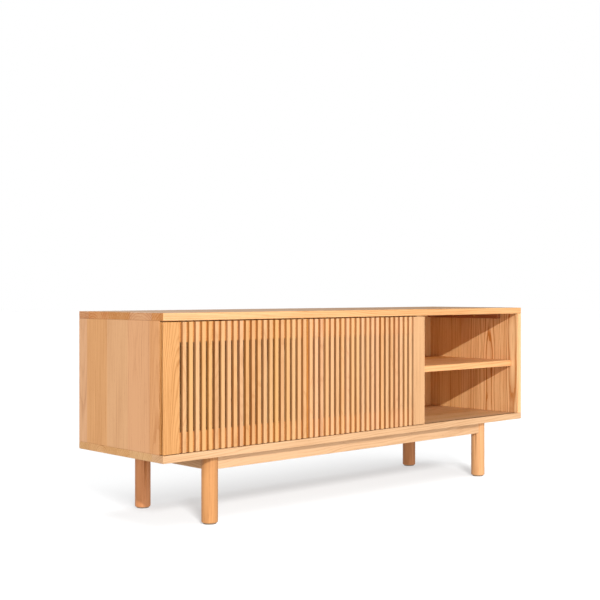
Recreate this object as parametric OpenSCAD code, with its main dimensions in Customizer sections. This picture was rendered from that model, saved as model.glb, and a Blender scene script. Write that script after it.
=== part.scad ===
// Low media cabinet in solid oak. Two slatted doors slide on one shared track in
// front of three equal bays, and the doors leave one bay open at a time.
// X runs along the front, from left to right. Y runs from the front to the back.
// Z is up. The origin is on the floor, under the middle of the cabinet.

/* [Case] */
// Width of the cabinet, which is also the width of its top and bottom panels
cabinet_width = 1500; // [1400:10:1700]
// Depth of the cabinet from the door faces to the back
cabinet_depth = 390; // [340:5:450]
// Height of the case, from the underside of the bottom panel to the top surface
case_height = 378; // [350:1:440]
// Thickness of every solid oak panel
panel_thickness = 20; // [18:1:24]
// Thickness of the back panel
back_thickness = 5; // [4:1:8]
// Width of the rebate that the back panel is let into
rebate_width = 10; // [8:1:12]
// Diameter of each round cable port in the back panel
port_diameter = 60; // [40:1:80]

/* [Interior] */
// Distance from the front of the case to the front edge of the dividers and the shelf
inner_setback = 25; // [22:1:60]
// Side of the square cleats that hold the top panel to the end panels
cleat_size = 18; // [14:1:22]
// Distance from the front of the case to the front end of each cleat
cleat_setback = 71; // [60:1:120]
// Diameter of the pins that hold up the shelf
shelf_pin_diameter = 5; // [4:1:6]

/* [Doors] */
// Thickness of a door, slats and rails together
door_thickness = 16; // [14:1:18]
// Gap behind a door, in front of the left end panel
door_back_gap = 1; // [1:0.5:3]
// Gap between the top of a door and the top panel
door_top_gap = 3; // [2:0.5:5]
// Gap between the bottom of a door and the bottom panel
door_bottom_gap = 1.5; // [1:0.5:3]
// Gap between the two doors when they stand side by side
door_meeting_gap = 4.5; // [3:0.5:8]
// Width of the solid stile that carries the finger pull
stile_width = 52; // [44:1:64]
// Width of the top rail and the bottom rail of a door
door_rail_width = 52; // [40:1:64]
// Number of slats on one door
slat_count = 21; // [15:1:25]
// Width of one slat
slat_width = 12; // [10:0.5:13]
// Thickness of one slat
slat_thickness = 8; // [6:1:10]
// How far the rails run on past the last slat
rail_overrun = 4; // [2:0.5:6]
// Width of the finger groove along the outer edge of the stile
pull_width = 9; // [7:0.5:10]
// Depth of the finger groove
pull_depth = 8; // [5:0.5:10]

/* [Base] */
// Height of the base, from the floor to the underside of the case
base_height = 180; // [140:5:240]
// Diameter of the round legs
leg_diameter = 44; // [38:1:50]
// Distance from the end of the case to the axis of a leg
leg_inset_x = 182; // [120:1:260]
// Distance from the front or the back of the case to the axis of a leg
leg_inset_y = 43; // [38:1:60]
// Radius that eases the lower edge of a leg
leg_easing = 4; // [2:0.5:6]
// Height of the four rails that join the legs
rail_height = 36; // [30:1:50]
// Thickness of the rails
rail_thickness = 22; // [18:1:26]
// How far a rail's outer face stands out from the axis of the leg
rail_offset = 16; // [12:1:18]
// Thickness of the felt pad under each leg
pad_thickness = 3; // [2:0.5:5]

/* [Hidden] */
$fn = 48;

oak = "#e8b478";
oak_shadow = "#c98f55";
metal = "#b9bcc0";
nylon = "#e9e7e0";
felt = "#8d8478";

// Case
half_width = cabinet_width / 2;
front_y = -cabinet_depth / 2;
back_y = cabinet_depth / 2;
back_inner_y = back_y - back_thickness;
case_bottom = base_height;
case_top = base_height + case_height;
floor_z = case_bottom + panel_thickness;
ceiling_z = case_top - panel_thickness;
end_inner_x = half_width - panel_thickness;
divider_x = cabinet_width / 6;
half_panel = panel_thickness / 2;
left_end_front_y = front_y + door_thickness + door_back_gap;
inner_front_y = front_y + inner_setback;

// Shelf, at the middle of the open bay
shelf_fit = 0.5;
shelf_z = (floor_z + ceiling_z - panel_thickness) / 2;
shelf_pin_inset = 45;
shelf_pin_reach = 10;

// Dowels, 8 mm, in three places along each joint of the case
dowel_diameter = 8;
dowel_in_upright = 16;
dowel_in_panel = 13;
dowel_places_y = [-0.36, 0, 0.36] * cabinet_depth;
upright_places_x = [-half_width + half_panel, -divider_x, divider_x, half_width - half_panel];

// Screws
screw_shank = 3.5;
screw_head = 7;
screw_head_height = 2;
cleat_screw_length = 28;
back_screw_length = 17;

// Doors
door_width = cabinet_width / 3 - 3;
door_z = floor_z + door_bottom_gap;
door_top_z = ceiling_z - door_top_gap;
door_back_y = front_y + door_thickness;
slat_back_y = front_y + slat_thickness;
slat_pitch = (door_width - stile_width - rail_overrun) / slat_count;
back_stile_width = rail_overrun + slat_width;
tongue_length = 12;
tongue_thickness = 4;
left_door_x = -half_width;
right_door_x = left_door_x + 2 * door_width + door_meeting_gap;

// Track, centred under the door rails
track_y = (slat_back_y + door_back_y) / 2;
track_width = 8;
track_wall = 1.2;
track_slot = track_width - 2 * track_wall;
lower_track_height = 6;
upper_track_height = 8;
track_start_x = -half_width + 15;
track_end_x = end_inner_x - 1;
guide_clearance = 0.3;
glide_width = track_slot - 2 * guide_clearance;
glide_length = 36;
glide_socket = 8;
guide_pin_diameter = glide_width;
guide_pin_socket = 20;
guide_pin_flange = 7.4;
guide_pin_flange_height = 1.2;
guide_inset = 82;
door_travel = end_inner_x - right_door_x - 1.5;

// Base
leg_x = half_width - leg_inset_x;
leg_y = cabinet_depth / 2 - leg_inset_y;
leg_radius = leg_diameter / 2;
rail_z = base_height - rail_height;
rail_middle = rail_offset - rail_thickness / 2;
rail_dowel_reach = 12;
rail_dowel_in_rail = 26;
leg_bolt_diameter = 8;
leg_bolt_in_leg = 42;
leg_bolt_in_panel = 14;
base_screw_shank = 4.5;
base_screw_head = 9;
base_screw_head_height = 3;
base_screw_recess = 14;
base_screw_end_z = case_bottom + 15;
pad_diameter = 34;
rail_screw_places_x = [-0.3, 0, 0.3] * cabinet_width;

// A plain block between its lowest and highest corners
module block(low, high) {
    translate(low) cube(high - low);
}

// A round bar along X, from x to x + length
module bar_x(x, y, z, length, diameter) {
    translate([x, y, z]) rotate([0, 90, 0]) cylinder(h = length, d = diameter);
}

// A round bar along Y, from y to y + length
module bar_y(x, y, z, length, diameter) {
    translate([x, y, z]) rotate([-90, 0, 0]) cylinder(h = length, d = diameter);
}

// A round bar along Z, from z to z + length
module bar_z(x, y, z, length, diameter) {
    translate([x, y, z]) cylinder(h = length, d = diameter);
}

// The part or parts drawn for the left side, and again for the right side
module both_sides() {
    children();
    mirror([1, 0, 0]) children();
}

// ---- Case ----

// All the dowels between the uprights and the top and bottom panels
module case_dowel_set() {
    length = dowel_in_upright + dowel_in_panel;
    for (x = upright_places_x, y = dowel_places_y) {
        bar_z(x, y, floor_z - dowel_in_panel, length, dowel_diameter);
        bar_z(x, y, ceiling_z - dowel_in_upright, length, dowel_diameter);
    }
}

// Countersunk screw that points along +Y, with its head flush at the back of the case
module back_screw(x, z) {
    translate([x, back_y, z]) rotate([90, 0, 0]) {
        cylinder(h = screw_head_height, d1 = screw_head, d2 = screw_shank);
        cylinder(h = back_screw_length, d = screw_shank);
    }
}

// Screws along the top, the bottom, both ends and both dividers
module back_screw_set() {
    edge_x = half_width - panel_thickness / 4 - rebate_width / 2;
    low_z = floor_z - rebate_width / 2;
    high_z = ceiling_z + rebate_width / 2;
    middle_z = (low_z + high_z) / 2;
    for (x = [-0.45, -0.27, -0.09, 0.09, 0.27, 0.45] * cabinet_width) {
        back_screw(x, low_z);
        back_screw(x, high_z);
    }
    for (x = [-edge_x, -divider_x, divider_x, edge_x]) back_screw(x, middle_z);
}

// Bolts that hold the legs to the bottom panel
module leg_bolt_set() {
    for (x = [-leg_x, leg_x], y = [-leg_y, leg_y]) {
        bar_z(x, y, base_height - leg_bolt_in_leg,
            leg_bolt_in_leg + leg_bolt_in_panel, leg_bolt_diameter);
    }
}

// Screw that goes up through a rail into the bottom panel
module base_screw(x, y) {
    head_z = rail_z + base_screw_recess;
    bar_z(x, y, head_z, base_screw_head_height, base_screw_head);
    bar_z(x, y, head_z, base_screw_end_z - head_z, base_screw_shank);
}

module base_screw_set() {
    for (x = rail_screw_places_x, side = [-1, 1]) base_screw(x, side * (leg_y + rail_middle));
    for (side = [-1, 1]) base_screw(side * (leg_x + rail_middle), 0);
}

// Screws that fix a cleat to the top panel above it and to the end panel beside it
module cleat_screw_set() {
    middle_x = end_inner_x - cleat_size / 2;
    middle_z = ceiling_z - cleat_size / 2;
    reach = cleat_screw_length - cleat_size;
    both_sides() {
        for (y = [-0.2, 0.32] * cabinet_depth) {
            bar_z(middle_x, y, ceiling_z - cleat_size, cleat_size + reach, screw_shank);
        }
        for (y = [-0.06, 0.18] * cabinet_depth) {
            bar_x(end_inner_x - cleat_size, y, middle_z, cleat_size + reach, screw_shank);
        }
    }
}

// The space that the back panel is let into
module back_rebate() {
    block([-end_inner_x - rebate_width, back_inner_y, floor_z - rebate_width],
        [end_inner_x + rebate_width, back_y, ceiling_z + rebate_width]);
}

module top_panel() {
    color(oak) difference() {
        block([-half_width, front_y, ceiling_z], [half_width, back_y, case_top]);
        back_rebate();
        block([track_start_x, track_y - track_width / 2, ceiling_z],
            [track_end_x, track_y + track_width / 2, ceiling_z + upper_track_height]);
        case_dowel_set();
        cleat_screw_set();
        back_screw_set();
    }
}

module bottom_panel() {
    color(oak) difference() {
        block([-half_width, front_y, case_bottom], [half_width, back_y, floor_z]);
        back_rebate();
        block([track_start_x, track_y - track_width / 2, floor_z - lower_track_height],
            [track_end_x, track_y + track_width / 2, floor_z]);
        case_dowel_set();
        leg_bolt_set();
        base_screw_set();
        back_screw_set();
    }
}

module left_end_panel() {
    color(oak) difference() {
        block([-half_width, left_end_front_y, floor_z], [-end_inner_x, back_y, ceiling_z]);
        back_rebate();
        case_dowel_set();
        cleat_screw_set();
        back_screw_set();
    }
}

module right_end_panel() {
    color(oak) difference() {
        block([end_inner_x, front_y, floor_z], [half_width, back_y, ceiling_z]);
        back_rebate();
        case_dowel_set();
        cleat_screw_set();
        back_screw_set();
        shelf_pin_set();
    }
}

// Upright between two bays, at x
module divider(x) {
    difference() {
        block([x - half_panel, inner_front_y, floor_z], [x + half_panel, back_inner_y, ceiling_z]);
        case_dowel_set();
        back_screw_set();
    }
}

module left_divider() {
    color(oak_shadow) divider(-divider_x);
}

module right_divider() {
    color(oak_shadow) difference() {
        divider(divider_x);
        shelf_pin_set();
    }
}

// One round cable port at the middle of each bay, in its lower half
module back_panel() {
    port_z = floor_z + 90;
    color(oak_shadow) difference() {
        block([-end_inner_x - rebate_width, back_inner_y, floor_z - rebate_width],
            [end_inner_x + rebate_width, back_y, ceiling_z + rebate_width]);
        for (x = [-1, 0, 1] * (divider_x + end_inner_x) / 2) {
            bar_y(x, back_inner_y - 1, port_z, back_thickness + 2, port_diameter);
        }
        back_screw_set();
    }
}

module bay_shelf() {
    color(oak) block([divider_x + half_panel + shelf_fit, inner_front_y, shelf_z],
        [end_inner_x - shelf_fit, back_inner_y - shelf_fit, shelf_z + panel_thickness]);
}

// Four pins under the shelf, each half in an upright
module shelf_pin_set() {
    pin_z = shelf_z - shelf_pin_diameter / 2;
    length = 2 * shelf_pin_reach;
    for (y = [inner_front_y + shelf_pin_inset, back_inner_y - shelf_pin_inset]) {
        bar_x(divider_x + half_panel - shelf_pin_reach, y, pin_z, length, shelf_pin_diameter);
        bar_x(end_inner_x - shelf_pin_reach, y, pin_z, length, shelf_pin_diameter);
    }
}

// Cleat under the top panel, against the inner face of the right end panel
module cleat() {
    difference() {
        block([end_inner_x - cleat_size, front_y + cleat_setback, ceiling_z - cleat_size],
            [end_inner_x, back_inner_y, ceiling_z]);
        cleat_screw_set();
    }
}

// U-shaped channel along the groove, open upwards when up is 1 and downwards when it is -1
module track(z, height, up) {
    half = track_width / 2;
    slot_low = up > 0 ? track_wall : -1;
    slot_high = up > 0 ? height + 1 : height - track_wall;
    translate([0, track_y, z]) difference() {
        block([track_start_x, -half, 0], [track_end_x, half, height]);
        block([track_start_x - 1, -track_slot / 2, slot_low],
            [track_end_x + 1, track_slot / 2, slot_high]);
    }
}

// Blocks in the lower track that stop the outer glides of the two doors
module track_stops() {
    slot_z = floor_z - lower_track_height + track_wall;
    left_stop_x = left_door_x + guide_inset - glide_length / 2 - guide_clearance;
    right_stop_x = right_door_x + door_travel - guide_inset + glide_length / 2 + guide_clearance;
    color(nylon) {
        block([track_start_x, track_y - track_slot / 2, slot_z],
            [left_stop_x, track_y + track_slot / 2, floor_z]);
        block([right_stop_x, track_y - track_slot / 2, slot_z],
            [track_end_x, track_y + track_slot / 2, floor_z]);
    }
}

// ---- Base ----

// Turned leg with a flat foot and an eased lower edge, standing at x, y
module leg_shape(x, y) {
    translate([x, y, pad_thickness]) rotate_extrude() {
        square([leg_radius - leg_easing, leg_easing]);
        translate([0, leg_easing]) {
            square([leg_radius, base_height - pad_thickness - leg_easing]);
            intersection() {
                translate([leg_radius - leg_easing, 0]) circle(r = leg_easing);
                translate([0, -leg_easing]) square([leg_radius, leg_easing]);
            }
        }
    }
}

module leg(x, y) {
    color(oak) difference() {
        leg_shape(x, y);
        rail_dowel_set();
        leg_bolt_set();
    }
}

// Dowels between the rails and the legs, two at each end of a long rail and one at
// each end of a short one, at different heights so that they pass in the leg
module rail_dowel_set() {
    length = rail_dowel_reach + rail_dowel_in_rail;
    long_x = leg_x - leg_radius + rail_dowel_reach - length;
    short_y = leg_y - leg_radius + rail_dowel_reach - length;
    middle_z = rail_z + rail_height / 2;
    for (side = [-1, 1]) both_sides() {
        for (step = [-1, 1]) {
            bar_x(long_x, side * (leg_y + rail_middle), middle_z + step * rail_height / 4,
                length, dowel_diameter);
        }
        low_y = side > 0 ? short_y : -short_y - length;
        bar_y(leg_x + rail_middle, low_y, middle_z, length, dowel_diameter);
    }
}

// Rail along X between two legs, coped to fit round them. Side is -1 for the front
module long_rail(side) {
    outer_y = side * (leg_y + rail_offset);
    inner_y = side * (leg_y + rail_offset - rail_thickness);
    color(oak) difference() {
        block([-leg_x, min(outer_y, inner_y), rail_z], [leg_x, max(outer_y, inner_y), base_height]);
        rail_cuts();
    }
}

// Rail along Y between two legs. Side is -1 for the left end
module short_rail(side) {
    outer_x = side * (leg_x + rail_offset);
    inner_x = side * (leg_x + rail_offset - rail_thickness);
    color(oak) difference() {
        block([min(outer_x, inner_x), -leg_y, rail_z], [max(outer_x, inner_x), leg_y, base_height]);
        rail_cuts();
    }
}

// What is cut from a rail: the legs, the dowel holes and the stepped screw holes
module rail_cuts() {
    for (x = [-leg_x, leg_x], y = [-leg_y, leg_y]) {
        bar_z(x, y, rail_z - 1, rail_height + 2, leg_diameter);
    }
    rail_dowel_set();
    base_screw_set();
    for (x = rail_screw_places_x, side = [-1, 1]) {
        bar_z(x, side * (leg_y + rail_middle), rail_z - 1, base_screw_recess + 1, base_screw_head);
    }
    for (side = [-1, 1]) {
        bar_z(side * (leg_x + rail_middle), 0, rail_z - 1, base_screw_recess + 1, base_screw_head);
    }
}

module felt_pads() {
    color(felt) for (x = [-leg_x, leg_x], y = [-leg_y, leg_y]) {
        bar_z(x, y, 0, pad_thickness, pad_diameter);
    }
}

// ---- Doors ----
// Each door is drawn with its stile at the left, from x = 0 to x = door_width.
// The left door stands as it is drawn. The right door is its mirror image.

module place_left_door() {
    translate([left_door_x, 0, 0]) children();
}

module place_right_door() {
    translate([right_door_x, 0, 0]) mirror([1, 0, 0]) children();
}

// Middle of the glides and the guide pins along a door
guide_places_x = [guide_inset, door_width - guide_inset];

// Tongue of a door rail, in the slot of the stile
module rail_tongue(z) {
    low_y = track_y - tongue_thickness / 2;
    block([stile_width - tongue_length, low_y, z + tongue_length],
        [stile_width, low_y + tongue_thickness, z + door_rail_width - tongue_length]);
}

module door_stile() {
    middle_y = front_y + door_thickness / 2;
    difference() {
        block([0, front_y, door_z], [stile_width, door_back_y, door_top_z]);
        block([-1, middle_y - pull_width / 2, door_z - 1],
            [pull_depth, middle_y + pull_width / 2, door_top_z + 1]);
        rail_tongue(door_z);
        rail_tongue(door_top_z - door_rail_width);
    }
}

module door_rail(z) {
    block([stile_width, slat_back_y, z], [door_width, door_back_y, z + door_rail_width]);
    rail_tongue(z);
}

module door_top_rail() {
    difference() {
        door_rail(door_top_z - door_rail_width);
        door_guide_pins();
    }
}

module door_bottom_rail() {
    difference() {
        door_rail(door_z);
        door_glides();
    }
}

// Thin upright behind the last slat, which closes the frame at its free end
module door_back_stile() {
    block([door_width - back_stile_width, slat_back_y, door_z + door_rail_width],
        [door_width, door_back_y, door_top_z - door_rail_width]);
}

module door_slats() {
    first_x = stile_width + slat_pitch - slat_width;
    for (i = [0 : slat_count - 1]) {
        x = first_x + i * slat_pitch;
        block([x, front_y, door_z], [x + slat_width, slat_back_y, door_top_z]);
    }
}

// Pins on the top edge of a door that run in the upper track
module door_guide_pins() {
    tip_z = ceiling_z + upper_track_height - track_wall - 1;
    foot_z = door_top_z - guide_pin_socket;
    for (x = guide_places_x) {
        bar_z(x, track_y, foot_z, tip_z - foot_z, guide_pin_diameter);
        bar_z(x, track_y, door_top_z, guide_pin_flange_height, guide_pin_flange);
    }
}

// Round-ended shoes on the bottom edge of a door that run in the lower track
module door_glides() {
    foot_z = floor_z - lower_track_height + track_wall + guide_clearance;
    height = door_z + glide_socket - foot_z;
    reach = glide_length / 2 - glide_width / 2;
    for (x = guide_places_x) {
        translate([x, track_y, foot_z]) linear_extrude(height) {
            square([2 * reach, glide_width], center = true);
            for (end = [-reach, reach]) translate([end, 0]) circle(d = glide_width);
        }
    }
}

top_panel();
bottom_panel();
left_end_panel();
right_end_panel();
left_divider();
right_divider();
back_panel();
bay_shelf();
color(metal) shelf_pin_set();  // shelf_pins
color(oak_shadow) mirror([1, 0, 0]) cleat();  // left_cleat
color(oak_shadow) cleat();  // right_cleat
color(metal) cleat_screw_set();  // cleat_screws
color(oak) case_dowel_set();  // case_dowels
color(metal) back_screw_set();  // back_screws
color(metal) track(ceiling_z, upper_track_height, -1);  // upper_track
union() {  // lower_track
    color(metal) track(floor_z - lower_track_height, lower_track_height, 1);
}
track_stops();

long_rail(-1);  // front_rail
long_rail(1);  // rear_rail
short_rail(-1);  // left_end_rail
short_rail(1);  // right_end_rail
leg(-leg_x, -leg_y);  // front_left_leg
leg(leg_x, -leg_y);  // front_right_leg
leg(-leg_x, leg_y);  // rear_left_leg
leg(leg_x, leg_y);  // rear_right_leg
color(oak) rail_dowel_set();  // rail_dowels
color(metal) leg_bolt_set();  // leg_bolts
color(metal) base_screw_set();  // base_screws
felt_pads();

color(oak) place_left_door() door_stile();  // left_door_stile
color(oak) place_left_door() door_top_rail();  // left_door_top_rail
union() {  // left_door_bottom_rail
    color(oak) place_left_door() door_bottom_rail();
}
union() {  // left_door_back_stile
    color(oak_shadow) place_left_door() door_back_stile();
}
color(oak) place_left_door() door_slats();  // left_door_slats
union() {  // left_door_guide_pins
    color(nylon) place_left_door() door_guide_pins();
}
color(nylon) place_left_door() door_glides();  // left_door_glides

color(oak) place_right_door() door_stile();  // right_door_stile
union() {  // right_door_top_rail
    color(oak) place_right_door() door_top_rail();
}
union() {  // right_door_bottom_rail
    color(oak) place_right_door() door_bottom_rail();
}
union() {  // right_door_back_stile
    color(oak_shadow) place_right_door() door_back_stile();
}
color(oak) place_right_door() door_slats();  // right_door_slats
union() {  // right_door_guide_pins
    color(nylon) place_right_door() door_guide_pins();
}
color(nylon) place_right_door() door_glides();  // right_door_glides
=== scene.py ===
# Low oak media cabinet: two slatted doors slide on one track in front of three bays.
# The sections follow the cabinet as a joiner puts it together, from the case to the doors.
import math

import bmesh
import bpy
from mathutils import Matrix, Vector


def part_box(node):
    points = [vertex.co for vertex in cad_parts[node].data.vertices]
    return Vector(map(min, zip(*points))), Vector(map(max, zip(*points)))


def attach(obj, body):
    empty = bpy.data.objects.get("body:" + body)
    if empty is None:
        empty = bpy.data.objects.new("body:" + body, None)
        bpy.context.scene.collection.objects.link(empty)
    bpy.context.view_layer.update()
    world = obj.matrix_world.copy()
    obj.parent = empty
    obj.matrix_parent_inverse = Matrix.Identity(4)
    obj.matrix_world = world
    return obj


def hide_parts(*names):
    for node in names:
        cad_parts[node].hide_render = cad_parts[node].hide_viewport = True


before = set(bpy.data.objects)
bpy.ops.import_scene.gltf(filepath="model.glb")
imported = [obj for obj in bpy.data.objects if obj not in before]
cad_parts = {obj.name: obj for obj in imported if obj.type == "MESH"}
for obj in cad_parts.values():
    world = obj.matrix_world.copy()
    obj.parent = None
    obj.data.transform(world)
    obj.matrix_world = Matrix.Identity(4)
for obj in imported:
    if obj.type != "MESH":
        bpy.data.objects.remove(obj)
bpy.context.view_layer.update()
scene = bpy.context.scene
scene.view_settings.view_transform = "Standard"
MM = 0.001

# Camera. It stands level, a little above the top of the cabinet, off the left end and
# turned towards the middle of the front.
camera_data = bpy.data.cameras.new("camera")
camera_data.lens = 67.31
camera_data.sensor_width = 36
camera_data.shift_y = -0.0121
camera = bpy.data.objects.new("camera", camera_data)
camera.location = (-2.4137, -2.4778, 0.6087)
camera.rotation_euler = (math.radians(90), 0, math.radians(-43.04))
scene.collection.objects.link(camera)
scene.camera = camera

# Floor. A wide pale sheet of studio paper, so evenly lit that only the soft shadow under
# the cabinet shows on it.
floor_size = 60
floor_bm = bmesh.new()
bmesh.ops.create_grid(floor_bm, x_segments=1, y_segments=1, size=floor_size / 2)
floor_mesh = bpy.data.meshes.new("studio_floor")
floor_bm.to_mesh(floor_mesh)
floor_bm.free()
floor = bpy.data.objects.new("studio_floor", floor_mesh)
scene.collection.objects.link(floor)
paper = bpy.data.materials.new("studio_paper")
paper.use_nodes = True
paper_shader = paper.node_tree.nodes["Principled BSDF"]
for socket, value in (
    ("Base Color", (0.3, 0.3, 0.3, 1)), ("Roughness", 1), ("Specular IOR Level", 0),
    ("Emission Color", (0.96, 0.98, 1, 1)), ("Emission Strength", 0.535),
):
    paper_shader.inputs[socket].default_value = value
floor_mesh.materials.append(paper)
floor.visible_diffuse = False
floor.visible_glossy = False

# Light. The key lamp stands in front, to the left, nearly three metres up. A weak low lamp
# fills the bays, and a wide soft one the left end. The paper has two soft lamps of its own.
floor_only = bpy.data.collections.new("floor_only")
floor_only.objects.link(floor)
all_but_floor = bpy.data.collections.new("all_but_floor")
all_but_floor.objects.link(floor)
all_but_floor.collection_objects[0].light_linking.link_state = "EXCLUDE"
key_place = (-3.5, -5.2, 2.92)
# A point lamp has its place, watts and radius. A sun has its direction, strength and spread.
for lamp_name, kind, place, strength, softness, lit in (
    ("key_lamp", "POINT", key_place, 1390, 0.06, all_but_floor),
    ("low_lamp", "POINT", (1.4, -3.2, 0.6), 75, 0.5, all_but_floor),
    ("side_lamp", "SUN", (-1, 0.12, 0.22), 1.2, math.radians(20), all_but_floor),
    ("floor_front_lamp", "POINT", key_place, 4400, 0.75, floor_only),
    ("floor_top_lamp", "SUN", (0.15, -0.1, 1), 4.2, math.radians(62), floor_only),
):
    lamp_data = bpy.data.lights.new(lamp_name, kind)
    lamp_data.energy = strength
    lamp = bpy.data.objects.new(lamp_name, lamp_data)
    if kind == "SUN":
        lamp_data.angle = softness
        lamp.rotation_euler = Vector(place).to_track_quat("Z", "Y").to_euler()
    else:
        lamp_data.shadow_soft_size = softness
        lamp.location = place
    lamp.light_linking.receiver_collection = lit
    scene.collection.objects.link(lamp)


def linear(hex_colour):
    """Turns an sRGB hex colour to the linear values that a shader takes."""
    channels = [int(hex_colour[i:i + 2], 16) / 255 for i in (1, 3, 5)]
    return [c / 12.92 if c <= 0.04045 else ((c + 0.055) / 1.055) ** 2.4 for c in channels] + [1]


def add_node(tree, kind, links=None, **settings):
    """Adds one node. Links gives its inputs, each as a value or as another node's output."""
    node = tree.nodes.new(kind)
    for name, value in settings.items():
        setattr(node, name, value)
    for socket, value in (links or {}).items():
        if isinstance(value, bpy.types.NodeSocket):
            tree.links.new(value, node.inputs[socket])
        else:
            node.inputs[socket].default_value = value
    return node


# Room. Its light comes up from the pale floor and back from the wall in front, less of it
# from above. The lens sees it plain white, and so does a sheen that looks to the rear.
light_from_below = 0.48
light_from_above = 0.16
light_from_front = 1.05
world = bpy.data.worlds.new("white_room")
world.use_nodes = True
scene.world = world
room = world.node_tree
room.nodes.clear()
sight = add_node(room, "ShaderNodeTexCoord")
heading = add_node(room, "ShaderNodeSeparateXYZ", {0: sight.outputs["Generated"]})
shade = add_node(room, "ShaderNodeMapRange", {
    "Value": heading.outputs["Z"], "From Min": -0.25, "From Max": 0.25,
    "To Min": light_from_below, "To Max": light_from_above})
front = add_node(room, "ShaderNodeMapRange", {
    "Value": heading.outputs["Y"], "From Min": -1, "From Max": 0,
    "To Min": light_from_front, "To Max": 0})
shade_and_front = add_node(room, "ShaderNodeMath", {0: shade.outputs[0], 1: front.outputs[0]})
room_light = add_node(room, "ShaderNodeBackground", {
    "Color": (1, 0.96, 0.9, 1), "Strength": shade_and_front.outputs[0]})
backdrop = add_node(room, "ShaderNodeBackground", {"Color": (1, 1, 1, 1), "Strength": 1.0})
ray = add_node(room, "ShaderNodeLightPath")
behind = add_node(room, "ShaderNodeMapRange", {
    "Value": heading.outputs["Y"], "From Min": 0.5, "From Max": 0.9})
mirrored = add_node(room, "ShaderNodeMath", {
    0: ray.outputs["Is Glossy Ray"], 1: behind.outputs[0]}, operation="MULTIPLY")
seen_white = add_node(room, "ShaderNodeMath", {
    0: ray.outputs["Is Camera Ray"], 1: mirrored.outputs[0]}, operation="MAXIMUM")
seen = add_node(room, "ShaderNodeMixShader", {
    0: seen_white.outputs[0], 1: room_light.outputs[0], 2: backdrop.outputs[0]})
add_node(room, "ShaderNodeOutputWorld", {"Surface": seen.outputs[0]})

# Top panel and bottom panel. Each is glued up from oak staves, with their grain along the
# cabinet, and planed to 20 mm. A channel is routed for the doors' track and a rebate for
# the back, and the edges are eased by hand with fine paper.
# EASING is the usual rounding of an edge. A cutter runs BEYOND the face that it leaves by.
# Corners nearer together than WELD are one corner.
EASING = 1.2 * MM
BEYOND = 10 * MM
WELD = 0.001 * MM


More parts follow.
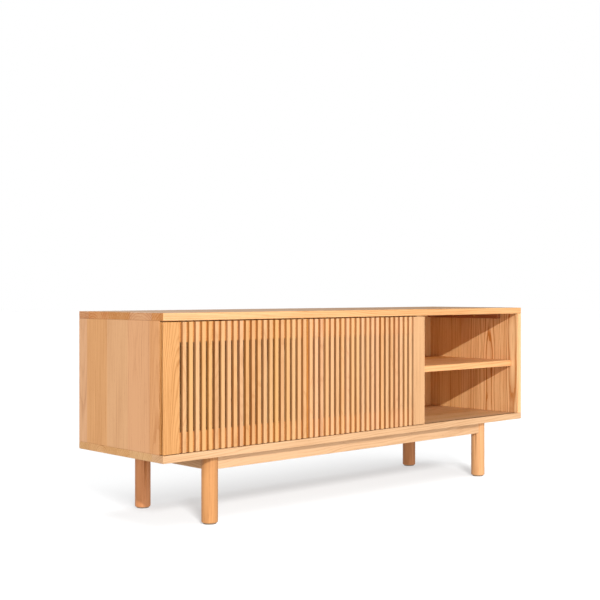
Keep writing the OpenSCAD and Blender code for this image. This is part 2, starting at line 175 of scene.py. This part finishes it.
def oak(name, grain, face, centre, board, seed, tones, ring=6.0, ring_depth=0.5,
        board_spread=0.2, heart=(25, 85), lean=0.045, sway=16, end_tone=0.3, painted_side_shade=0,
        wax=0):
    """Solid oiled oak, sawn from boards of one width.
    Grain and face are the axes of the fibres and of the thickness. Centre is the middle of
    the pattern, in metres. Board and ring are widths in millimetres. Heart gives how near
    and how far the heart of the tree lies behind the face, lean how steeply it runs away
    from the face, and sway how far it wanders. Tones are the light and the dark colour.
    Ring_depth, board_spread and end_tone say how far towards the dark colour rings, whole boards and
    sawn ends may go. The side shade argument says how far the sides across the boards go towards it:
    painted shade, standing in for the shade in the narrow gaps beside slats and stiles."""
    material = bpy.data.materials.new(name)
    material.use_nodes = True
    tree = material.node_tree
    tree.nodes.clear()
    across = ({"X", "Y", "Z"} - {grain, face}).pop()

    # Place on the piece, in millimetres, and the board that it falls on
    coords = add_node(tree, "ShaderNodeTexCoord")
    place = add_node(tree, "ShaderNodeMapping", {
        "Vector": coords.outputs["Object"], "Scale": [1 / MM] * 3,
        "Location": [-c / MM for c in centre]})
    parts = add_node(tree, "ShaderNodeSeparateXYZ", {0: place.outputs[0]})
    boards = add_node(tree, "ShaderNodeMath", {
        0: parts.outputs[across], 1: 1 / board, 2: 0.5}, operation="MULTIPLY_ADD")
    number = add_node(tree, "ShaderNodeMath", {0: boards.outputs[0]}, operation="FLOOR")
    within = add_node(tree, "ShaderNodeMath", {0: boards.outputs[0]}, operation="FRACT")
    seed_apart = 17.31
    shuffled = add_node(tree, "ShaderNodeMath", {
        0: number.outputs[0], 1: seed_apart * seed + 0.5})
    chance = add_node(tree, "ShaderNodeTexWhiteNoise", {"W": shuffled.outputs[0]},
                      noise_dimensions="1D")
    draw = add_node(tree, "ShaderNodeSeparateColor", {0: chance.outputs["Color"]})

    # Where the heart of the tree lies from here, so that rings make arches on a face. It
    # sways once in about 320 mm, and each board has a sway of its own.
    aside = 0.8 * board
    sway_length = 320
    sway_apart = 7.3
    drift_x = add_node(tree, "ShaderNodeMapRange", {
        "Value": draw.outputs[0], "To Min": -aside, "To Max": aside})
    local = add_node(tree, "ShaderNodeMath", {
        0: within.outputs[0], 1: board, 2: drift_x.outputs[0]}, operation="MULTIPLY_ADD")
    heart_depth = add_node(tree, "ShaderNodeMapRange", {
        "Value": draw.outputs[1], "To Min": heart[0], "To Max": heart[1]})
    leaning = add_node(tree, "ShaderNodeMapRange", {
        "Value": draw.outputs[2], "To Min": -lean, "To Max": lean})
    slow = add_node(tree, "ShaderNodeCombineXYZ", {0: shuffled.outputs[0], 1: parts.outputs[grain]})
    slow_place = add_node(tree, "ShaderNodeMapping", {
        "Vector": slow.outputs[0], "Scale": (sway_apart, 1 / sway_length, 1)})
    wander = add_node(tree, "ShaderNodeTexNoise", {
        "Vector": slow_place.outputs[0], "Scale": 1.0, "Detail": 1.0}, noise_dimensions="2D")
    swaying = add_node(tree, "ShaderNodeMapRange", {
        "Value": wander.outputs["Fac"], "From Min": 0.2, "From Max": 0.8,
        "To Min": -sway, "To Max": sway})
    leaned = add_node(tree, "ShaderNodeMath", {
        0: parts.outputs[grain], 1: leaning.outputs[0], 2: heart_depth.outputs[0]},
        operation="MULTIPLY_ADD")
    swayed = add_node(tree, "ShaderNodeMath", {0: leaned.outputs[0], 1: swaying.outputs[0]})
    depth = add_node(tree, "ShaderNodeMath", {0: swayed.outputs[0], 1: parts.outputs[face]})
    radius_vector = add_node(tree, "ShaderNodeCombineXYZ", {0: local.outputs[0], 1: depth.outputs[0]})
    radius = add_node(tree, "ShaderNodeVectorMath", {0: radius_vector.outputs[0]},
                      operation="LENGTH")

    # Noise drawn out along the grain, by its length and width in millimetres. A real pore
    # is 0.3 mm wide and up to 15 mm long. It is drawn 1 mm wide so that it shows.
    drawn_out = {}
    for kind, length, width, detail in (
        ("ripple", 160, 14, 2), ("pore", 15, 1, 1), ("fibre", 130, 3.5, 3), ("cloud", 420, 45, 2),
    ):
        stretched = add_node(tree, "ShaderNodeVectorMath", {
            0: place.outputs[0],
            1: [1 / length if axis == grain else 1 / width for axis in "XYZ"]},
            operation="MULTIPLY")
        drawn_out[kind] = add_node(tree, "ShaderNodeTexNoise", {
            "Vector": stretched.outputs[0], "Scale": 1.0, "Detail": detail}).outputs["Fac"]

    # Growth rings: uneven in width and strength, dark and porous where each one starts.
    # They bunch and spread by up to three rings, and ripple along the board by up to one.
    bunching = 3.0
    bunches_per_mm = 0.03
    rippling = 0.9
    early_start, early_end = 0.08, 0.5
    late_tone = 0.55
    faintest_ring = 0.35
    uneven = add_node(tree, "ShaderNodeMath", {0: radius.outputs["Value"], 1: bunches_per_mm},
                      operation="MULTIPLY")
    growth = add_node(tree, "ShaderNodeTexNoise", {
        "W": uneven.outputs[0], "Scale": 1.0, "Detail": 1.0}, noise_dimensions="1D")
    grown = add_node(tree, "ShaderNodeMath", {
        0: radius.outputs["Value"], 1: 1 / ring, 2: shuffled.outputs[0]},
        operation="MULTIPLY_ADD")
    count = add_node(tree, "ShaderNodeMath", {
        0: growth.outputs["Fac"], 1: bunching, 2: grown.outputs[0]}, operation="MULTIPLY_ADD")
    rings = add_node(tree, "ShaderNodeMath", {
        0: drawn_out["ripple"], 1: rippling, 2: count.outputs[0]}, operation="MULTIPLY_ADD")
    ring_number = add_node(tree, "ShaderNodeMath", {0: rings.outputs[0]}, operation="FLOOR")
    ring_chance = add_node(tree, "ShaderNodeTexWhiteNoise", {"W": ring_number.outputs[0]},
                           noise_dimensions="1D")
    ring_part = add_node(tree, "ShaderNodeMath", {0: rings.outputs[0]}, operation="FRACT")
    early = add_node(tree, "ShaderNodeMapRange", {
        "Value": ring_part.outputs[0], "From Min": early_start, "From Max": early_end,
        "To Min": 1, "To Max": 0}, interpolation_type="SMOOTHSTEP")
    late = add_node(tree, "ShaderNodeMapRange", {
        "Value": ring_part.outputs[0], "From Min": early_end, "From Max": 1.0,
        "To Min": 0, "To Max": late_tone})
    ring_tone = add_node(tree, "ShaderNodeMath", {0: early.outputs[0], 1: late.outputs[0]},
                         operation="MAXIMUM")
    strength = add_node(tree, "ShaderNodeMapRange", {
        "Value": ring_chance.outputs["Value"],
        "To Min": faintest_ring * ring_depth, "To Max": ring_depth})
    ring_shade = add_node(tree, "ShaderNodeMath", {0: ring_tone.outputs[0], 1: strength.outputs[0]},
                          operation="MULTIPLY")

    # Open pores, only in the early wood. The noise is a pore where it passes the first value.
    pore_edge, pore_middle = 0.55, 0.68
    pores = add_node(tree, "ShaderNodeMapRange", {
        "Value": drawn_out["pore"], "From Min": pore_edge, "From Max": pore_middle},
        interpolation_type="SMOOTHSTEP")
    porous = add_node(tree, "ShaderNodeMath", {0: pores.outputs[0], 1: early.outputs[0]},
                      operation="MULTIPLY")

    # Sawn ends are darker than the faces, as end grain is. The sides across the boards are darkened
    # too: painted shade, for the shade in the narrow gaps between slats and beside the stiles. A
    # surface counts as an end or a side by how squarely it points along that axis.
    part_on, full_on = 0.6, 0.95
    facing = add_node(tree, "ShaderNodeSeparateXYZ", {0: coords.outputs["Normal"]})
    end_on = add_node(tree, "ShaderNodeMath", {0: facing.outputs[grain]}, operation="ABSOLUTE")
    end_grain = add_node(tree, "ShaderNodeMapRange", {
        "Value": end_on.outputs[0], "From Min": part_on, "From Max": full_on, "To Max": end_tone})
    side_on = add_node(tree, "ShaderNodeMath", {0: facing.outputs[across]}, operation="ABSOLUTE")
    side_shade_node = add_node(tree, "ShaderNodeMapRange", {
        "Value": side_on.outputs[0], "From Min": part_on, "From Max": full_on, "To Max": painted_side_shade})

    # Glue line between two boards, 0.1 mm wide, drawn 0.8 mm wide so that it shows
    joint_width = 0.8
    joint_tone = 0.25
    from_joint = add_node(tree, "ShaderNodeMath", {0: within.outputs[0], 1: 0.5},
                          operation="PINGPONG")
    joint = add_node(tree, "ShaderNodeMapRange", {
        "Value": from_joint.outputs[0], "From Min": 0, "From Max": joint_width / board,
        "To Min": joint_tone, "To Max": 0})

    # All the dark tones together. Streaks and clouds go both ways from the middle tone.
    streak = 0.7
    pore_tone = 0.3
    tone = end_grain.outputs[0]
    for part, weight, offset in (
        (ring_shade.outputs[0], 1, 0), (porous.outputs[0], pore_tone, 0), (joint.outputs[0], 1, 0),
        (drawn_out["fibre"], streak, -streak / 2), (drawn_out["cloud"], streak, -streak / 2),
        (draw.outputs[1], board_spread, -board_spread / 2), (side_shade_node.outputs[0], 1, 0),
    ):
        weighed = add_node(tree, "ShaderNodeMath", {0: part, 1: weight, 2: offset},
                           operation="MULTIPLY_ADD")
        tone = add_node(tree, "ShaderNodeMath", {0: tone, 1: weighed.outputs[0]}).outputs[0]
    colour = add_node(tree, "ShaderNodeMix", {
        "Factor": tone, 6: linear(tones[0]), 7: linear(tones[1])}, data_type="RGBA")
    hue = add_node(tree, "ShaderNodeMapRange", {
        "Value": draw.outputs[0], "To Min": 0.497, "To Max": 0.503})
    saturation = add_node(tree, "ShaderNodeMapRange", {
        "Value": draw.outputs[2], "To Min": 0.97, "To Max": 1.1})
    tinted = add_node(tree, "ShaderNodeHueSaturation", {
        "Hue": hue.outputs[0], "Saturation": saturation.outputs[0], "Color": colour.outputs[2]})

    # Oil leaves a soft sheen on the dense late wood and none in the open pores
    roughness = add_node(tree, "ShaderNodeMapRange", {
        "Value": tone, "From Min": -0.2, "From Max": 0.8, "To Min": 0.46, "To Max": 0.64})
    relief = add_node(tree, "ShaderNodeMath", {
        0: porous.outputs[0], 1: -1.0, 2: drawn_out["fibre"]}, operation="MULTIPLY_ADD")
    bump = add_node(tree, "ShaderNodeBump", {
        "Height": relief.outputs[0], "Strength": 0.35, "Distance": 0.25 * MM})
    shader = add_node(tree, "ShaderNodeBsdfPrincipled", {
        "Base Color": tinted.outputs[0], "Roughness": roughness.outputs[0],
        "Normal": bump.outputs[0], "IOR": 1.48, "Specular IOR Level": 0.4,
        "Coat Weight": wax, "Coat Roughness": 0.3})
    add_node(tree, "ShaderNodeOutputMaterial", {"Surface": shader.outputs[0]})
    return material


def add_block(bm, low, high):
    """Adds a square-edged block between its lowest and highest corners."""
    middle = Matrix.Translation((Vector(low) + Vector(high)) / 2)
    size = Matrix.Diagonal((*(Vector(high) - Vector(low)), 1))
    bmesh.ops.create_cube(bm, size=1, matrix=middle @ size)


def ease_edges(bm, width=EASING, segments=3):
    """Rounds over every edge."""
    bmesh.ops.bevel(bm, geom=bm.edges[:], offset=width, offset_type="OFFSET",
                    segments=segments, profile=0.5, affect="EDGES", material=-1)


def new_piece(name, bm):
    """Makes an object of the mesh, at the origin, with its faces outwards."""
    bmesh.ops.recalc_face_normals(bm, faces=bm.faces)
    mesh = bpy.data.meshes.new(name)
    bm.to_mesh(mesh)
    bm.free()
    piece = bpy.data.objects.new(name, mesh)
    scene.collection.objects.link(piece)
    return piece


def merged_node(node):
    """A copy of a CAD node's mesh, with its triangles joined up."""
    bm = bmesh.new()
    bm.from_mesh(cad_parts[node].data)
    bmesh.ops.remove_doubles(bm, verts=bm.verts, dist=WELD)
    return bm


def carve(piece, *cutters):
    """Cuts closed shapes out of a piece."""
    for cutter in cutters:
        tool = new_piece("cutter", cutter)
        cut = piece.modifiers.new("cut", "BOOLEAN")
        cut.operation = "DIFFERENCE"
        cut.solver = "EXACT"
        cut.object = tool
    carved = piece.evaluated_get(bpy.context.evaluated_depsgraph_get())
    piece.data = bpy.data.meshes.new_from_object(carved)
    for cut in piece.modifiers:
        bpy.data.objects.remove(cut.object)
    piece.modifiers.clear()


def fit(piece, body, slot, material, *nodes):
    """Finishes a piece, fixes it to its body, and lets it stand for its CAD nodes."""
    piece.data.materials.append(material)
    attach(piece, body)
    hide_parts(*nodes)


def middle_of(corners):
    """The point halfway between a lowest and a highest corner."""
    return (corners[0] + corners[1]) / 2


def block_bmesh(low, high):
    """A square-edged block in a mesh of its own, for cutting."""
    bm = bmesh.new()
    add_block(bm, low, high)
    return bm


def eased_block(name, low, high):
    """A board or bar with all of its edges eased, as a piece."""
    bm = block_bmesh(low, high)
    ease_edges(bm)
    return new_piece(name, bm)


# Oiled oak, light and dark tone: honey on top, paler and pinker below. The sawn ends look
# darker, and wax gives the top a sheen along its far edge.
stave_width = 97.5
top_oak = ("#D6A97A", "#A66630")
pale_oak = ("#CEA57B", "#A47140")
rebate_low, rebate_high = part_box("back_panel")
rebate = (rebate_low, rebate_high + Vector((0, BEYOND, 0)))
for node, track, seed, tones, end_tone, wax in (
    ("top_panel", "upper_track", 1, top_oak, 0.55, 0.35),
    ("bottom_panel", "lower_track", 2, pale_oak, 0.2, 0),
):
    low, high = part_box(node)
    groove_low, groove_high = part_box(track)
    if node == "top_panel":
        groove_low.z -= BEYOND
    else:
        groove_high.z += BEYOND
    panel = eased_block(node.replace("panel", "board"), low, high)
    drilled = ["case_dowels", "back_screws"]
    drilled += ["cleat_screws"] if node == "top_panel" else ["leg_bolts", "base_screws"]
    carve(panel, block_bmesh(*rebate), block_bmesh(groove_low, groove_high),
          *[merged_node(fixing) for fixing in drilled])
    fit(panel, "cabinet", "oak_case",
        oak("oiled_oak_" + node, "X", "Z", middle_of((low, high)), stave_width, seed, tones,
            sway=7, end_tone=end_tone, wax=wax), node)

# End panels, dividers and shelf. The same 20 mm staves, with the grain upright in the
# uprights. The left end stops short behind its door, and the dividers stand further back.
# Oiled oak: the left end calm and rosy, the right end with a strong narrow figure, the shelf warm.
# The dividers are pale and plain: partly their own paler tone, partly painted light that stands in
# for light inside the shaded bays.
left_end_oak = ("#CB9A6F", "#A1693D")
right_end_oak = ("#F0C592", "#BA783F")
inner_oak_painted_light = ("#F4CC96", "#DC9E5C")
shelf_oak = ("#E0A970", "#B57238")
for node, seed, tones, ring, ring_depth in (
    ("left_end_panel", 3, left_end_oak, 6, 0.35), ("right_end_panel", 4, right_end_oak, 5, 1.2),
    ("left_divider", 5, inner_oak_painted_light, 6, 0.5), ("right_divider", 6, inner_oak_painted_light, 6, 0.5),
    ("bay_shelf", 7, shelf_oak, 7, 0.5),
):
    low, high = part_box(node)
    panel = eased_block(node.replace("panel", "board") + "_oak", low, high)
    if "end" in node:
        carve(panel, block_bmesh(*rebate), merged_node("case_dowels"),
              merged_node("cleat_screws"), merged_node("back_screws"))
    if "divider" in node:
        carve(panel, merged_node("case_dowels"), merged_node("back_screws"))
    grain, face = ("X", "Z") if node == "bay_shelf" else ("Z", "X")
    slot = "oak_inner" if "divider" in node else "oak_case"
    fit(panel, "cabinet", slot,
        oak("oiled_oak_" + node, grain, face, middle_of((low, high)), stave_width, seed, tones,
            ring, ring_depth, heart=(30, 70), sway=6), node)


def coat(node, material):
    """Gives a CAD node, whose shape is right as it is, its real finish."""
    for material_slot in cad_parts[node].material_slots:
        material_slot.material = material


# Back panel. A thin oak-faced board in the rebate, with its screw holes and cable ports already
# drilled, so the sheet itself stays. Its veneer shows leaves 180 mm wide, in the dividers' pale tone:
# partly the veneer's own, partly painted light for the shaded bays.
leaf_width = 180
low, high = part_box("back_panel")
coat("back_panel",
     oak("oak_veneer", "Z", "Y", middle_of((low, high)), leaf_width, 19, inner_oak_painted_light))


def turned(outline, steps):
    """A round body about the Z axis. The outline gives its radius at each height."""
    bm = bmesh.new()
    points = [bm.verts.new((radius, 0, height)) for radius, height in outline]
    edges = [bm.edges.new(pair) for pair in zip(points, points[1:])]
    bmesh.ops.spin(bm, geom=points + edges, cent=(0, 0, 0), axis=(0, 0, 1), angle=math.tau,
                   steps=steps, use_merge=True)
    bmesh.ops.remove_doubles(bm, verts=bm.verts, dist=WELD)
    return bm


# Legs. Each is turned from one square of oak, with its foot rounded over, and drilled for
# the dowels of the rails and for the bolt in its top.
leg_steps = 64
foot_easing = 4 * MM
foot_arc_steps = 4
crease = math.radians(40)
leg_square = 300
legs = ("front_left_leg", "front_right_leg", "rear_left_leg", "rear_right_leg")
# Oiled oak. The tones are painted light and painted shade for how the light falls on each leg: the
# front right one paler, the rear ones darker, the rear right nearly brown. The square's pattern is
# drawn wider than it is, so that no glue line falls on a leg.
leg_tones_lit_and_shaded = (("#C38C59", "#885226"), ("#D6A171", "#A06A3C"),
             ("#C5875A", "#8F542A"), ("#A97146", "#6C3E1B"))
for node, tones in zip(legs, leg_tones_lit_and_shaded):
    low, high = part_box(node)
    axis = middle_of((low, high))
    radius = (high.x - low.x) / 2
    outline = [(0, low.z), (radius - foot_easing, low.z)]
    for step in range(1, foot_arc_steps + 1):
        turn = math.radians(90) * step / foot_arc_steps
        outline.append((radius - foot_easing + foot_easing * math.sin(turn),
                        low.z + foot_easing - foot_easing * math.cos(turn)))
    outline += [(radius, high.z), (0, high.z)]
    bm = turned(outline, leg_steps)
    bm.transform(Matrix.Translation((axis.x, axis.y, 0)))
    leg = new_piece(node + "_turned", bm)
    carve(leg, merged_node("rail_dowels"), merged_node("leg_bolts"))
    leg.data.shade_smooth()
    leg.data.set_sharp_from_angle(angle=crease)
    fit(leg, "cabinet", "oak_base",
        oak("turned_oak_" + node, "Z", "Y", axis, leg_square, 8, tones, ring=5), node)


def separate_boxes(node):
    """The corners of each separate solid in a CAD node, in order of place."""
    bm = merged_node(node)
    waiting = set(bm.verts)
    boxes = []
    while waiting:
        spread = [waiting.pop()]
        solid = []
        while spread:
            vert = spread.pop()
            solid.append(vert.co)
            for edge in vert.link_edges:
                other = edge.other_vert(vert)
                if other in waiting:
                    waiting.remove(other)
                    spread.append(other)
        low = Vector([min(co[i] for co in solid) for i in range(3)])
        high = Vector([max(co[i] for co in solid) for i in range(3)])
        boxes.append((low, high))
    bm.free()
    return sorted(boxes, key=lambda corners: tuple(round(c, 5) for c in corners[0]))


def round_bar(start, end, start_radius, end_radius, steps=32):
    """A round bar or cone between two points, for cutting."""
    bm = bmesh.new()
    along = end - start
    turn = along.to_track_quat("Z", "Y").to_matrix().to_4x4()
    bmesh.ops.create_cone(bm, cap_ends=True, segments=steps, radius1=start_radius,
                          radius2=end_radius, depth=along.length,
                          matrix=Matrix.Translation(middle_of((start, end))) @ turn)
    return bm


# Base rails. Flat bars of oak, with ends hollowed to sit against the round legs, and
# stepped holes in the underside for the screws that hold the case.
# Oiled oak, as pale as the bottom panel. Every bar is sawn from boards 120 mm wide.
bar_board = 120
base_screws = separate_boxes("base_screws")
for node, seed in (
    ("front_rail", 9), ("rear_rail", 10), ("left_end_rail", 11), ("right_end_rail", 12),
):
    low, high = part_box(node)
    along = "X" if high.x - low.x > high.y - low.y else "Y"
    rail = eased_block(node + "_oak", low, high)
    cutters = [merged_node("rail_dowels"), merged_node("base_screws")]
    for leg in legs:
        leg_low, leg_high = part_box(leg)
        middle = middle_of((leg_low, leg_high))
        cutters.append(round_bar(Vector((middle.x, middle.y, low.z - BEYOND)),
                                 Vector((middle.x, middle.y, high.z + BEYOND)),
                                 leg_high.x - middle.x, leg_high.x - middle.x, leg_steps))
    for screw_low, screw_high in base_screws:
        middle = middle_of((screw_low, screw_high))
        cutters.append(round_bar(Vector((middle.x, middle.y, low.z - BEYOND)),
                                 Vector((middle.x, middle.y, screw_low.z + WELD)),
                                 screw_high.x - middle.x, screw_high.x - middle.x))
    carve(rail, *cutters)
    fit(rail, "cabinet", "oak_base",
        oak("oiled_oak_" + node, along, "Z", middle_of((low, high)), bar_board, seed, pale_oak,
            ring=5), node)

# Door stiles. One wide upright at the outer edge of each door, with a groove for the
# fingers routed along its edge and a slot for the tongues of the rails.
pull_width = 9 * MM
pull_depth = 8 * MM
pull_easing = 1 * MM
# Oiled oak: the left stile warm, the right one paler, both with narrow slanting figure. Their edges
# carry painted shade, as if in the groove and the gaps.
stile_oak = {"left": ("#C69664", "#94602D"), "right": ("#CB9C70", "#9C6739")}
for side, seed in (("left", 13), ("right", 14)):
    node = side + "_door_stile"
    low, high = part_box(node)
    stile = eased_block(side + "_stile", low, high)
    out = -1 if side == "left" else 1
    outer = low.x if side == "left" else high.x
    middle_y = middle_of((low, high)).y
    ends = sorted((outer + out * BEYOND, outer - out * pull_depth))
    groove = block_bmesh((ends[0], middle_y - pull_width / 2, low.z - BEYOND),
                         (ends[1], middle_y + pull_width / 2, high.z + BEYOND))
    ease_edges(groove, pull_easing)
    carve(stile, groove, merged_node(side + "_door_top_rail"),
          merged_node(side + "_door_bottom_rail"))
    fit(stile, side + "_door", "oak_door",
        oak("oiled_oak_" + node, "Z", "Y", middle_of((low, high)), bar_board, seed, stile_oak[side],
            ring=4, ring_depth=0.6, heart=(30, 50), lean=0.07, sway=8, painted_side_shade=0.15), node)

# Slats. Twenty-one thin laths on each door, glued over the rails. Each is ripped from a
# different board, so their tones differ a little.
# Oiled oak, rosy on the planed fronts. The sides are darker with painted shade, for the shade in the
# gaps between slats.
slat_oak = {"left": ("#C89B6C", "#A06634"), "right": ("#CD9F73", "#A56C3E")}
slat_easing = 0.5 * MM
for side, seed in (("left", 15), ("right", 16)):
    node = side + "_door_slats"
    low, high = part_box(node)
    laths = separate_boxes(node)
    pitch = (laths[1][0].x - laths[0][0].x) / MM
    bm = bmesh.new()
    for lath_low, lath_high in laths:
        add_block(bm, lath_low, lath_high)
    ease_edges(bm, slat_easing, segments=2)
    slats = new_piece(side + "_slats", bm)
    fit(slats, side + "_door", "oak_door",
        oak("oiled_oak_slats_" + side, "Z", "Y", middle_of((low, high)), pitch, seed, slat_oak[side],
            ring=4, ring_depth=0.25, board_spread=0.35, painted_side_shade=0.6), node)

# Door rails and back stiles. Thin flat bars behind the slats: two across, and one upright
# that closes the frame at its free end. Their shapes stay, and they take their oak.
# Oiled oak, a shade darker than the slats, which sets them off
rail_oak = ("#C78E56", "#9A6130")
for side, seed in (("left", 17), ("right", 18)):
    for node, grain in (("top_rail", "X"), ("bottom_rail", "X"), ("back_stile", "Z")):
        low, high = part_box(side + "_door_" + node)
        coat(side + "_door_" + node,
             oak("oiled_oak_" + side + "_" + node, grain, "Y", middle_of((low, high)), bar_board,
                 seed, rail_oak))


def plain_finish(name, light, dark, patch, rough, metallic=0, relief=0.02):
    """A finish with no figure of its own: two close tones, in patches that also move its
    roughness and its surface. Patch is their size along X, Y and Z and relief their height,
    in millimetres, and rough is the least and the most roughness."""
    material = bpy.data.materials.new(name)
    material.use_nodes = True
    tree = material.node_tree
    tree.nodes.clear()
    coords = add_node(tree, "ShaderNodeTexCoord")
    place = add_node(tree, "ShaderNodeMapping", {
        "Vector": coords.outputs["Object"], "Scale": [1 / (MM * size) for size in patch]})
    patches = add_node(tree, "ShaderNodeTexNoise", {
        "Vector": place.outputs[0], "Scale": 1, "Detail": 3})
    spread = add_node(tree, "ShaderNodeMapRange", {
        "Value": patches.outputs["Fac"], "From Min": 0.3, "From Max": 0.7})
    colour = add_node(tree, "ShaderNodeMix", {
        "Factor": spread.outputs[0], 6: linear(light), 7: linear(dark)}, data_type="RGBA")
    roughness = add_node(tree, "ShaderNodeMapRange", {
        "Value": spread.outputs[0], "To Min": rough[0], "To Max": rough[1]})
    bump = add_node(tree, "ShaderNodeBump", {
        "Height": spread.outputs[0], "Strength": 0.4, "Distance": relief * MM})
    shader = add_node(tree, "ShaderNodeBsdfPrincipled", {
        "Base Color": colour.outputs[2], "Roughness": roughness.outputs[0],
        "Normal": bump.outputs[0], "Metallic": metallic})
    add_node(tree, "ShaderNodeOutputMaterial", {"Surface": shader.outputs[0]})
    return material


# Screws. Zinc-plated steel with a cross recess: countersunk in the back and the cleats,
# and flat-headed under the rails.
# Yellow zinc plating: a soft brassy shine that hardly shows against the oak
zinc = plain_finish("yellow_zinc_steel", "#C2A56B", "#A08550", (0.8, 0.8, 0.8), (0.25, 0.4), 1)
screw_steps = 20
head_chamfer = 0.3 * MM
head_step = 0.01 * MM
point_length = 3 * MM
recess_depth = 1.2 * MM
recess_width = 0.9 * MM
recess_reach = 0.6
# Each size of screw: the radius of its head, the radius of its shank, its head's height
small_screw = (3.5 * MM, 1.75 * MM, 2 * MM)
rail_screw = (4.5 * MM, 2.25 * MM, 3 * MM)


def facing_along(start, end):
    """The turn and place that put a body's foot at one point and its axis towards another."""
    turn = (end - start).to_track_quat("Z", "Y").to_matrix().to_4x4()
    return Matrix.Translation(start) @ turn


def ends_of(corners, axis, from_high):
    """The middles of a bar's two ends along an axis, from its high end or its low one."""
    low_end = middle_of(corners)
    high_end = low_end.copy()
    low_end[axis] = corners[0][axis]
    high_end[axis] = corners[1][axis]
    return (high_end, low_end) if from_high else (low_end, high_end)


def add_turned(bm, outline, start, end):
    """Adds a round body that stands at one point with its axis towards another."""
    single = turned(outline, screw_steps)
    single.transform(facing_along(start, end))
    part = bpy.data.meshes.new("part")
    single.to_mesh(part)
    single.free()
    bm.from_mesh(part)
    bpy.data.meshes.remove(part)


def screw_set(name, node, heads, size, countersunk=True):
    """All the screws of one kind in one piece. Heads gives each head's middle and the
    point of its screw."""
    head_radius, shank_radius, head_height = size
    bm = bmesh.new()
    for head, tip in heads:
        length = (tip - head).length
        outline = [(0, 0), (head_radius - head_chamfer, 0), (head_radius, head_chamfer)]
        if not countersunk:
            outline.append((head_radius, head_height))
        outline += [(shank_radius, head_height + head_step), (shank_radius, length - point_length),
                    (0, length)]
        add_turned(bm, outline, head, tip)
    screws = new_piece(name, bm)
    recess_length = 2 * recess_reach * head_radius
    for width, height in ((recess_length, recess_width), (recess_width, recess_length)):
        bars = bmesh.new()
        bar_size = Matrix.Diagonal((width, height, 2 * recess_depth, 1))
        for head, tip in heads:
            bmesh.ops.create_cube(bars, size=1, matrix=facing_along(head, tip) @ bar_size)
        carve(screws, bars)
    fit(screws, "cabinet", "zinc_steel", zinc, node)


X, Y, Z = range(3)
back_heads = [ends_of(bar, Y, True) for bar in separate_boxes("back_screws")]
screw_set("back_panel_screws", "back_screws", back_heads, small_screw)
base_heads = [ends_of(bar, Z, False) for bar in base_screws]
screw_set("rail_screws", "base_screws", base_heads, rail_screw, countersunk=False)
cleat_heads = []
for bar in separate_boxes("cleat_screws"):
    low, high = bar
    upright = high.z - low.z > high.x - low.x
    on_the_left = middle_of(bar).x <= 0
    cleat_heads.append(ends_of(bar, Z, False) if upright else ends_of(bar, X, on_the_left))
screw_set("batten_screws", "cleat_screws", cleat_heads, small_screw)

# Cleats. Square battens in the corners under the top, screwed to it and to the ends.
# Oak darkened with painted shade, so that it reads as a thin brown line in the shade under the top
shaded_batten_oak = ("#A9643A", "#7E4220")
sink_radius = 5 * MM
sink_lead = 1.75 * MM
for node, seed in (("left_cleat", 20), ("right_cleat", 21)):
    low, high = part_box(node)
    cleat = eased_block(node.replace("cleat", "batten"), low, high)
    sinks = [merged_node("cleat_screws")]
    shank_radius, head_height = small_screw[1:]
    for head, tip in cleat_heads:
        inward = (tip - head).normalized()
        sinks.append(round_bar(head - sink_lead * inward, head + head_height * inward,
                               sink_radius, shank_radius, screw_steps))
    carve(cleat, *sinks)
    fit(cleat, "cabinet", "oak_inner",
        oak("oiled_oak_" + node, "Y", "Z", middle_of((low, high)), bar_board, seed, shaded_batten_oak), node)

# Shelf pins. Turned steel pegs, yellow zinc-plated, pushed into the uprights under the
# shelf, with both of their ends chamfered.
buried_chamfer = 0.4 * MM
free_chamfer = 0.8 * MM
shelf_middle = middle_of(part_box("bay_shelf"))
pins = bmesh.new()
for bar in separate_boxes("shelf_pins"):
    low, high = bar
    buried, free = ends_of(bar, X, middle_of(bar).x >= shelf_middle.x)
    radius = (high.z - low.z) / 2
    length = high.x - low.x
    outline = [(0, 0), (radius - buried_chamfer, 0), (radius, buried_chamfer),
               (radius, length - free_chamfer), (radius - free_chamfer, length), (0, length)]
    add_turned(pins, outline, buried, free)
fit(new_piece("steel_shelf_pins", pins), "cabinet", "zinc_steel", zinc, "shelf_pins")

# Fixings and running gear. Dowels, bolts, tracks, stops, pins, glides and pads, which stay
# as they are modelled: turned, drawn, moulded or punched, and pushed or screwed in place.
# Compressed beech: straw-coloured and dry, with fine streaks along the upright dowels
beech = plain_finish("compressed_beech", "#D9B98C", "#B98F60", (0.6, 0.6, 6), (0.5, 0.65))
# Bronze anodising: brown with a low metallic sheen, drawn lines along the track
aluminium = plain_finish("bronze_anodised_aluminium", "#8A6A4C", "#735639", (60, 0.4, 0.4),
                         (0.35, 0.5), 1)
# Dark nylon: dull and nearly black, lost in the gaps around the doors
nylon = plain_finish("dark_moulded_nylon", "#3A3129", "#2C2520", (1.5, 1.5, 1.5), (0.4, 0.55))
# Wool felt: grey-brown, matt and fuzzy
felt = plain_finish("wool_felt", "#8F877B", "#6C655B", (0.5, 0.5, 0.3), (0.9, 1.0), 0, 0.2)
for node, material in (
    ("case_dowels", beech), ("rail_dowels", beech), ("leg_bolts", zinc), ("upper_track", aluminium),
    ("lower_track", aluminium), ("track_stops", nylon), ("left_door_guide_pins", nylon),
    ("right_door_guide_pins", nylon), ("left_door_glides", nylon), ("right_door_glides", nylon),
    ("felt_pads", felt),
):
    coat(node, material)
